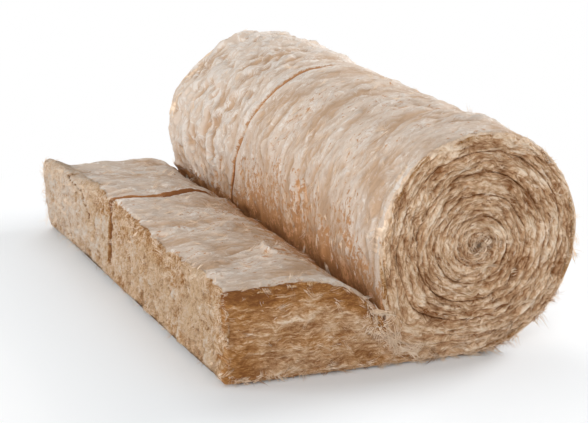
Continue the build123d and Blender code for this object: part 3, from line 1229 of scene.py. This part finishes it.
@dataclass(frozen=True)
class WoolFinish:
    """The mat's wool: pale where it is skin, brown and streaked where it is cut."""

    white: Color = (0.86, 0.785, 0.72)
    pale: Color = (0.735, 0.61, 0.51)
    cream: Color = (0.575, 0.39, 0.26)
    tan: Color = (0.82, 0.525, 0.335)
    rust_and_shade: Color = (0.35, 0.145, 0.055)
    stain: Color = (0.52, 0.25, 0.095)
    cut_light: Color = (0.86, 0.67, 0.49)
    cut_middle: Color = (0.60, 0.375, 0.215)
    cut_dark: Color = (0.24, 0.092, 0.030)
    torn_light: Color = (0.80, 0.575, 0.37)
    golden: Color = (0.52, 0.25, 0.080)
    nip: Color = (0.92, 0.47, 0.22)
    loose: Color = (0.92, 0.765, 0.615)

    def skin(self) -> bpy.types.Material:
        """The skins and the short torn end."""
        recipe = Recipe("wool_skin")
        relief = recipe.attribute("relief")
        warmth = recipe.attribute("warmth")
        cut = recipe.attribute("cut")
        crevice = recipe.attribute("crevice")
        streak = recipe.noise(recipe.surface((18, 56), 0, 0.05), 5, 0.70, 0.8)
        fine = recipe.noise(recipe.surface((80, 260), 3, 0.02), 4, 0.78, 0.8)
        fuzz = recipe.noise(recipe.surface((260, 380), 4, 0.01), 3, 0.8, 0.8)
        patch = recipe.noise(recipe.surface((7, 11), 7), 3, 0.5)
        fleck = recipe.noise(recipe.surface((60, 120), 11, 0.02), 4, 0.75)
        # Painted shade: the colour darkens, turns tan and loses its white strands where the skin lies below
        # its neighbours.
        hollow_shade = recipe.attribute("hollow")
        # Relief in the colour: raised fluff is paler and low places are tanner. This is partly the wool's own
        # tone and partly painted shade.
        level = streak * 1.1 + relief * 30 + fine * 0.4 + fuzz * 0.3 + patch * 2.4 - warmth * 0.4
        level = level - hollow_shade * 0.24
        shade = recipe.blend(level.step(1.35, 2.42), self.cream, self.pale)
        strand = recipe.noise(recipe.surface((12, 62), 8, 0.05), 4, 0.6, 0.8)
        line = 1.0 - (strand - 0.5).size() * 26.0
        strands = line + fuzz * 0.8 + patch * 1.8 - warmth * 1.6 - hollow_shade * 0.4 - 1.4
        shade = recipe.blend(strands.step(0.0, 1.2) * 0.85, shade, self.white)
        warm = warmth * 0.62 + patch * 1.1 - streak * 0.6 - relief * 20 - fine * 0.4 + hollow_shade * 0.2
        shade = recipe.blend(warm.step(0.35, 1.35), shade, self.tan)
        shade = recipe.blend(warmth.step(0.70, 1.0), shade, self.nip)
        spot = fleck + warmth * 0.28 + patch * 0.45 + fuzz * 0.2
        shade = recipe.blend(spot.step(0.955, 1.045) * 0.85, shade, self.stain)
        # Darkest brown in the deepest crease and the slit: partly the wool's staining and partly painted
        # shade.
        shade = recipe.blend(warmth.step(0.80, 1.25), shade, self.rust_and_shade)
        # Each tuft is darker towards its edge: painted shade between the tufts.
        tuft = recipe.tufts(recipe.surface((95, 130), 5, 0.02))
        curl = recipe.noise(recipe.surface((190, 330), 5), 4, 0.72, 1.3)
        hair = recipe.noise(recipe.surface((520, 560), 9), 3, 0.8, 0.8)
        # Relief in the torn end's colour: low places are darker, partly the wool's own tone and partly painted
        # shade.
        level = curl * 1.5 + hair * 0.9 - tuft * 0.24 + tuft.output("Color") * 0.12 + relief * 34 - 0.53
        # Painted shade: the colour darkens down the crevice in the torn end.
        level = level - crevice * 0.9
        level = level - warmth * 0.24 - hollow_shade * 0.05
        band = recipe.attribute("band")
        level = level - band * 0.13
        gold = patch + warmth * 0.3 + band * 0.35
        under = recipe.blend(gold.step(0.45, 0.75), self.cut_middle, self.golden)
        raw = recipe.blend(level.step(0.06, 0.52), self.cut_dark, under)
        raw = recipe.blend(level.step(0.36, 0.80), raw, self.torn_light)
        raw = recipe.blend((level + patch * 0.4 - warmth * 0.35).step(0.90, 1.30) * 0.8, raw, self.white)
        # Darkest brown in the deepest crease and the slit: partly the wool's staining and partly painted
        # shade.
        raw = recipe.blend((warmth.step(0.9, 1.4)), raw, self.rust_and_shade)
        color = recipe.blend((cut + curl * 0.3 - 0.15).step(0.35, 0.65), shade, raw)
        bumps = streak * 0.5 + fine * 0.7 + fuzz * 0.35 + line.at_least(0.0) * 0.2
        bumps = bumps + (curl * 1.6 + hair * 1.1) * cut
        return recipe.finish(color, bumps, 0.008, 0.8)

    def edge(self) -> bpy.types.Material:
        """The long cut edges, with the winding's tufts and streaks."""
        recipe = Recipe("wool_edge")
        relief = recipe.attribute("relief")
        crevice = recipe.attribute("crevice")
        wound = recipe.attribute("wound")
        band = recipe.attribute("band")
        broad = recipe.noise(recipe.surface((13, 60), 0, 0.02), 4, 0.6, 0.5)
        wavy = recipe.noise(recipe.surface((62, 225), 3, 0.04), 5, 0.72, 0.9)
        level_on = recipe.noise(recipe.surface((44, 260), 3, 0.014), 6, 0.8, 0.6)
        streak = wavy * wound + level_on * (1.0 - wound)
        fine = recipe.noise(recipe.surface((190, 500), 6, 0.03), 3, 0.8, 0.8) * wound
        fine = fine + recipe.noise(recipe.surface((170, 560), 8, 0.014), 4, 0.85, 0.8) * (1.0 - wound)
        patch = recipe.noise(recipe.surface((7, 16), 9), 3, 0.5)
        # Each tuft is darker towards its edge: painted shade between the tufts.
        tuft = recipe.tufts(recipe.surface((68, 200), 5, 0.045))
        own = tuft.output("Color") * (wound * 0.4 + 0.6)
        tuft = tuft * (wound * 0.4 + 0.6) + (1.0 - wound) * 0.2
        # Relief in the edge's colour: low places are darker, partly the fibres' own tone and partly painted
        # shade.
        level = broad * 0.6 + streak * 0.65 + fine * 0.5 + own * 0.28 - tuft * 0.42 + relief * 44
        level = level + (streak + fine - 0.96) * (1.0 - wound) * 0.5
        # Painted shade: the colour is darker where the face falls away into the gaps between turns.
        level = level - crevice * 0.36 - band * 0.58
        brown = (band * 1.2 + (1.0 - patch) * 0.7 - wound).step(0.15, 0.60)
        middle = recipe.blend(brown, self.cut_middle, self.golden)
        shade = recipe.blend(level.step(0.28, 0.90), self.cut_dark, middle)
        shade = recipe.blend(level.step(0.70, 1.20), shade, self.cut_light)
        shade = recipe.blend((level + patch * 0.5).step(1.25, 1.60) * 0.8, shade, self.loose)
        border = recipe.attribute("border")
        shade = recipe.blend((border + level * 0.5 - 0.45).step(0.0, 0.5) * 0.5, shade, self.loose)
        bumps = streak * 0.8 + fine * 0.8 - tuft * 0.5
        return recipe.finish(shade, bumps, 0.006, 0.8)

    def wisp(self) -> bpy.types.Material:
        """The loose fibres, each of its own shade."""
        recipe = Recipe("wool_wisp")
        tone = recipe.attribute("tone")
        shade = recipe.blend(tone.step(0.0, 0.4), self.cut_dark, self.cut_middle)
        shade = recipe.blend(tone.step(0.3, 0.75), shade, self.cut_light)
        shade = recipe.blend(tone.step(0.7, 1.0), shade, self.loose)
        place = recipe.node("ShaderNodeTexCoord", None, None, output="Object")
        sockets = {"Vector": place, "Scale": 900.0}
        grain = recipe.node("ShaderNodeTexNoise", None, sockets)
        return recipe.finish(shade, grain, 0.0005, 0.3)


def scatter(surface: Surface, count: int, rows: tuple[float, float], columns: tuple[float, float],
            outside: Sequence[float], seed: int) -> Spots:
    """Spots at random on part of a surface.

    Args:
        surface: The surface.
        count: How many spots.
        rows: The first and last row, as shares of all rows.
        columns: The first and last column, as shares of all columns.
        outside: A direction that points away from the wool.
        seed: The seed of the places.

    Returns:
        The spots.
    """
    chance = np.random.default_rng(seed)
    tall, wide = surface.points.shape[:2]
    row = chance.uniform(*rows, size=count) * (tall - 1)
    column = chance.uniform(*columns, size=count) * (wide - 1)
    row = np.clip(row, 1.6, tall - 2.6)
    column = np.clip(column, 1.6, wide - 2.6)
    return surface.spots(row, column, np.array(outside, float))


@dataclass
class Studio:
    """The camera, the lamps and the floor."""

    def build(self) -> None:
        """Sets up the studio."""
        scene = bpy.context.scene
        scene.view_settings.view_transform = "Standard"
        lens = bpy.data.cameras.new("camera")
        camera = bpy.data.objects.new("camera", lens)
        scene.collection.objects.link(camera)
        lens.lens = 111.22
        lens.sensor_width = 36
        azimuth, elevation, roll = map(math.radians, (-23.7586, 15.5565, 1.4941))
        back = Vector((
            math.sin(azimuth) * math.cos(elevation),
            -math.cos(azimuth) * math.cos(elevation),
            math.sin(elevation),
        ))
        right = Vector((0, 0, 1)).cross(back).normalized()
        up = back.cross(right)
        tilted_right = math.cos(roll) * right + math.sin(roll) * up
        tilted_up = math.cos(roll) * up - math.sin(roll) * right
        turn = Matrix((tilted_right, tilted_up, back)).transposed()
        camera.matrix_world = Matrix.Translation((-1.54038, -3.52644, 1.23032)) @ turn.to_4x4()
        lens.clip_end = 100
        scene.camera = camera
        recipe = Recipe("studio", world=True)
        scene.world = recipe.material
        ambient = recipe.node("ShaderNodeBackground", None, {"Color": (1.0, 0.985, 0.96), "Strength": 0.50})
        white = recipe.node("ShaderNodeBackground", None, {"Color": (1.0, 1.0, 1.0), "Strength": 1.0})
        shader = recipe.node("ShaderNodeMixShader", None, {0: recipe.seen(), 1: ambient, 2: white})
        recipe.node("ShaderNodeOutputWorld", None, {"Surface": shader})
        for name, place, size, power in (
            ("key", (3.2, 0.3, 1.7), 1.1, 114),
            ("top", (0.4, 2.3, 2.9), 1.8, 30),
            ("fill", (-2.3, -3.9, 1.9), 2.2, 114),
            ("side", (-2.7, 0.5, 0.7), 1.2, 38),
        ):
            light = bpy.data.lights.new(name, "AREA")
            light.shape = "SQUARE"
            light.size = size
            light.energy = power
            lamp = bpy.data.objects.new(name, light)
            scene.collection.objects.link(lamp)
            lamp.location = place
            lamp.rotation_euler = (Vector(place) - Vector((0, 0, 0.2))).to_track_quat("Z", "Y").to_euler()
        bpy.ops.mesh.primitive_plane_add(size=30)
        floor = bpy.context.object
        floor.name = "floor"
        floor.data.materials.append(self.floor())

    @staticmethod
    def floor() -> bpy.types.Material:
        """A pale floor that turns into the white backdrop a little way from the object."""
        recipe = Recipe("floor")
        plain = recipe.node("ShaderNodeBsdfDiffuse", None, {"Color": (0.80, 0.80, 0.80)})
        shaded = recipe.node("ShaderNodeBsdfDiffuse", None, {"Color": (0.79, 0.815, 0.84)})
        white = recipe.node("ShaderNodeEmission", None, {"Color": (1.0, 1.0, 1.0), "Strength": 1.0})
        place = recipe.node("ShaderNodeTexCoord", None, None, output="Object")
        sockets = {0: place}
        spread = recipe.node("ShaderNodeVectorMath", {"operation": "ADD"}, {**sockets, 1: (0.09, 0.06, 0.0)})
        spread = recipe.node("ShaderNodeVectorMath", {"operation": "ABSOLUTE"}, {0: spread})
        sockets = {0: spread, 1: (0.30, 0.52, 0.0)}
        spread = recipe.node("ShaderNodeVectorMath", {"operation": "SUBTRACT"}, sockets)
        sockets = {0: spread, 1: (0.0, 0.0, 0.0)}
        spread = recipe.node("ShaderNodeVectorMath", {"operation": "MAXIMUM"}, sockets)
        sockets = {0: spread}
        away = recipe.node("ShaderNodeVectorMath", {"operation": "LENGTH"}, sockets, "Value")
        fade = away.step(0.02, 0.62)
        shown = recipe.node("ShaderNodeMixShader", None, {0: fade, 1: shaded, 2: white})
        shader = recipe.node("ShaderNodeMixShader", None, {0: recipe.seen(), 1: plain, 2: shown})
        recipe.node("ShaderNodeOutputMaterial", None, {"Surface": shader})
        return recipe.material


def main() -> None:
    """Builds every piece and the studio."""
    mat = Mat()
    wool = WoolFinish()
    skin_finish, edge_finish, wisp_finish = wool.skin(), wool.edge(), wool.wisp()
    roll = Skin(mat, "mat_roll", roll_lines, 262, seed=3)
    tail = Skin(mat, "mat_tail", tail_lines, 350, wound=False, seed=23)
    for part in (roll, tail):
        piece = part.build()
        part.dress(skin_finish)
        LOG.info("%s: %d vertices", piece.name, len(piece.data.vertices))
    near, far = CutEdge(mat, End.NEAR), CutEdge(mat, End.FAR, across=26)
    for edge in (near, far):
        piece = edge.build()
        edge.dress(edge_finish)
        LOG.info("%s: %d vertices", piece.name, len(piece.data.vertices))
    face = Wisps("wisps_near")
    tuft = Growth(9, (0.007, 0.019), (0.0004, 0.0010), 0.0014, (0.0, 0.10), 0.45, 0.40, (0.05, 0.82))
    face.grow(scatter(near.surface, 760, (0.10, 0.99), (0.09, 0.93), (0, -1, 0), 5), tuft)
    level = Growth(6, (0.010, 0.030), (0.0002, 0.0006), 0.0018, (0.0, 0.08), 0.40, 0.60, (0.1, 0.95))
    face.grow(scatter(near.surface, 330, (0.0, 0.17), (0.05, 0.95), (0, -1, 0), 15), level)
    crease = near.crease_row() / (len(near.surface.points) - 1)
    face.grow(scatter(near.surface, 110, (0.88, 0.992), (0.1, 0.9), (0, -1, 0), 18), tuft)
    tufty = Growth(9, (0.012, 0.030), (0.0006, 0.0014), 0.0034, (0.1, 0.5), 0.9, 0.6, (0.7, 1.0))
    face.grow(scatter(near.surface, 60, (crease - 0.010, crease + 0.012), (0.45, 0.99), (0, -1, 0), 16), tufty)
    fringe = Growth(5, (0.006, 0.018), (0.0003, 0.0007), 0.0020, (0.1, 0.6), 0.7, 0.8, (0.1, 0.8))
    face.grow(scatter(near.surface, 115, (0.0, 0.16), (0.0, 0.06), (0, -1, 0), 6), fringe)
    heart = Growth(8, (0.005, 0.014), (0.0005, 0.0011), 0.0020, (0.0, 0.25), 0.8, 1.0, (0.7, 1.0))
    face.grow(scatter(near.surface, 36, (0.958, 0.998), (0.1, 0.9), (0, -1, 0), 21), heart)
    hem = Growth(9, (0.008, 0.022), (0.0004, 0.0009), 0.0030, (0.2, 0.7), 0.8, 0.8, (0.55, 1.0))
    face.grow(scatter(near.surface, 60, (0.0, 0.20), (0.02, 0.09), (0, -1, 0), 19), hem)
    stray = Growth(3, (0.003, 0.007), (0.0003, 0.0005), 0.0020, (0.0, 0.4), 0.5, 0.8, (0.4, 1.0))
    face.grow(scatter(near.surface, 160, (0.17, 0.42), (0.0, 0.12), (0, -1, 0), 7), stray)
    short = Growth(6, (0.004, 0.012), (0.0004, 0.0009), 0.0020, (0.0, 0.5), 1.2, 0.7, (0.3, 1.0))
    raw = Wisps("wisps_cut_end", seed=83)
    tall = len(tail.surface.points)
    top_row, foot_row = tail.row_of_end()
    ends = (top_row / tall, foot_row / tall)
    raw.grow(scatter(tail.surface, 800, ends, (0.02, 0.98), (-1, 0, 0), 8), short)
    ridge = Growth(8, (0.005, 0.016), (0.0003, 0.0007), 0.0020, (0.1, 0.6), 0.9, 0.8, (0.7, 1.0))
    crest = (ends[0] - 0.02, ends[0] + 0.02)
    raw.grow(scatter(tail.surface, 200, crest, (0.02, 0.98), (-1, 0, 1), 9), ridge)
    raw.grow(scatter(tail.surface, 64, ends, (0.004, 0.028), (-1, -1, 0), 22), ridge)
    foot = (ends[1] - 0.03, ends[1] - 0.004)
    raw.grow(scatter(tail.surface, 120, foot, (0.02, 0.98), (-1, 0, -0.3), 10), fringe)
    haze = Growth(8, (0.012, 0.030), (0.0003, 0.0006), 0.0035, (0.2, 0.9), 1.0, 0.8, (0.8, 1.0))
    raw.grow(scatter(tail.surface, 80, ends, (0.80, 0.985), (-1, 0, 0), 20), haze)
    loose = Wisps("wisps_skin", seed=97)
    lint = Growth(12, (0.012, 0.034), (0.0003, 0.0006), 0.0022, (0.0, 0.06), 0.3, 0.3, (0.80, 1.0))
    loose.grow(scatter(roll.surface, 300, (0.25, 0.93), (0.03, 0.97), (0, 0, 1), 12), lint)
    loose.grow(scatter(tail.surface, 160, (0.22, 0.70), (0.03, 0.97), (0, 0, 1), 13), lint)
    loose.grow(scatter(near.surface, 70, (0.0, 0.165), (0.95, 0.995), (0, -1, 0.4), 23), ridge)
    for wisps in (face, raw, loose):
        piece = wisps.build()
        wisps.dress(wisp_finish)
        LOG.info("%s: %d faces", piece.name, len(piece.data.polygons))
    Studio().build()


if __name__ == "__main__":
    main()
